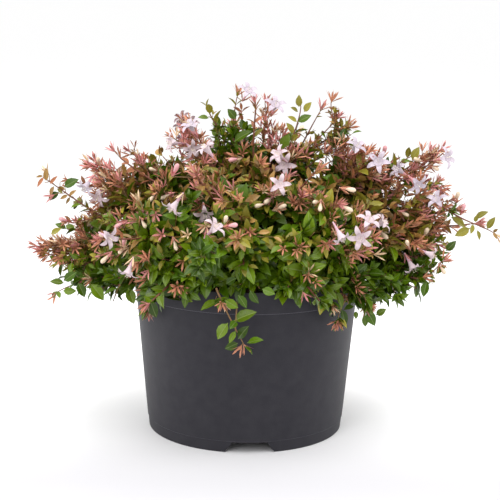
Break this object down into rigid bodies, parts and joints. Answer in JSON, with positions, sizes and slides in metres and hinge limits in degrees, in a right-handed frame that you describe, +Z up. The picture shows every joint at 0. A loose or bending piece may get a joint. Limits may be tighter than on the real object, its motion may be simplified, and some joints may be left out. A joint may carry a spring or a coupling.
{
  "type": "potted flowering shrub",
  "caption": "Low, spreading evergreen shrub with small glossy leaves, reddish shoot tips and pale funnel flowers, in a plain round dark nursery pot.",
  "frame": {"origin": "centre of the pot's flat underside, on the ground", "axes": "+Z up the pot's axis, -Y towards the viewer of the picture, +X to that viewer's right"},
  "size_m": [0.3968, 0.3151, 0.2871],
  "materials": {
    "pot": "satin, moulded",
    "growing_medium": "fibrous, rough",
    "bark": "fine bark",
    "foliage": "glossy leaf"
  },
  "bodies": {
    "root": {"pot": "pot", "soil": "growing_medium", "main_stem": "bark", "foliage_crest_1": "foliage", "foliage_crest_2": "foliage", "foliage_crest_3": "foliage", "foliage_crest_4": "foliage", "bough_shoulder_1": "bark", "foliage_shoulder_1": "foliage", "bough_shoulder_2": "bark", "foliage_shoulder_2": "foliage", "bough_shoulder_3": "bark", "foliage_shoulder_3": "foliage", "bough_shoulder_4": "bark", "foliage_shoulder_4": "foliage", "bough_shoulder_5": "bark", "foliage_shoulder_5": "foliage", "bough_shoulder_6": "bark", "foliage_shoulder_6": "foliage", "bough_flank_1": "bark", "foliage_flank_1": "foliage", "bough_flank_2": "bark", "foliage_flank_2": "foliage", "bough_flank_3": "bark", "foliage_flank_3": "foliage", "bough_flank_4": "bark", "foliage_flank_4": "foliage", "bough_flank_5": "bark", "foliage_flank_5": "foliage", "bough_flank_6": "bark", "foliage_flank_6": "foliage", "bough_flank_7": "bark", "foliage_flank_7": "foliage", "bough_flank_8": "bark", "foliage_flank_8": "foliage", "bough_skirt_1": "bark", "foliage_skirt_1": "foliage", "bough_skirt_2": "bark", "foliage_skirt_2": "foliage", "bough_skirt_3": "bark", "foliage_skirt_3": "foliage", "bough_skirt_4": "bark", "foliage_skirt_4": "foliage", "bough_skirt_5": "bark", "foliage_skirt_5": "foliage", "bough_skirt_6": "bark", "foliage_skirt_6": "foliage", "bough_trailing_1": "bark", "foliage_trailing_1": "foliage", "bough_trailing_2": "bark", "foliage_trailing_2": "foliage", "bough_trailing_3": "bark", "foliage_trailing_3": "foliage", "bough_trailing_4": "bark", "foliage_trailing_4": "foliage", "bough_trailing_5": "bark", "foliage_trailing_5": "foliage", "bough_trailing_6": "bark", "foliage_trailing_6": "foliage"}
  },
  "joints": []
}
